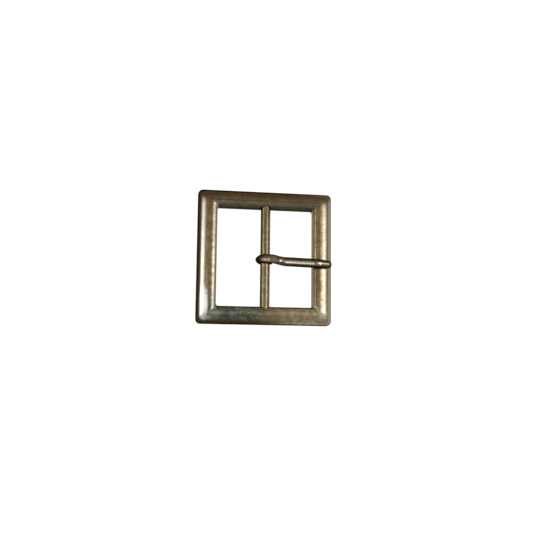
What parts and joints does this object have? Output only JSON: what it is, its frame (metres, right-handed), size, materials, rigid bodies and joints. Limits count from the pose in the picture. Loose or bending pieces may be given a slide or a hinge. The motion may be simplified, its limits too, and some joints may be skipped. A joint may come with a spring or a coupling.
{
  "type": "belt buckle",
  "caption": "Square centre-bar belt buckle with a plain round bar and a prong that swings up from the rail it rests on, in an antique brass finish.",
  "frame": {"origin": "under the middle of the frame, on the plane that the frame's back rim rests on", "axes": "+Z out of the buckle's face, +X from the bar towards the prong's tip, +Y along the bar"},
  "size_m": [0.0546, 0.054, 0.009],
  "materials": {
    "frame_plating": "antique brass plating, satin, mottled brown and green-grey",
    "bar_plating": "antique brass plating, rubbed smooth",
    "prong_plating": "antique brass plating, polished on the crest and dark at the loop"
  },
  "bodies": {
    "frame": {"buckle_frame": "frame_plating", "centre_bar": "bar_plating"},
    "prong": {"prong": "prong_plating"}
  },
  "joints": [
    {"name": "prong_swing", "type": "hinge", "parent": "frame", "child": "prong", "pos_m": [0, -0.00105, 0.0033], "axis": [0, -1, 0], "range_deg": [0, 155]}
  ]
}
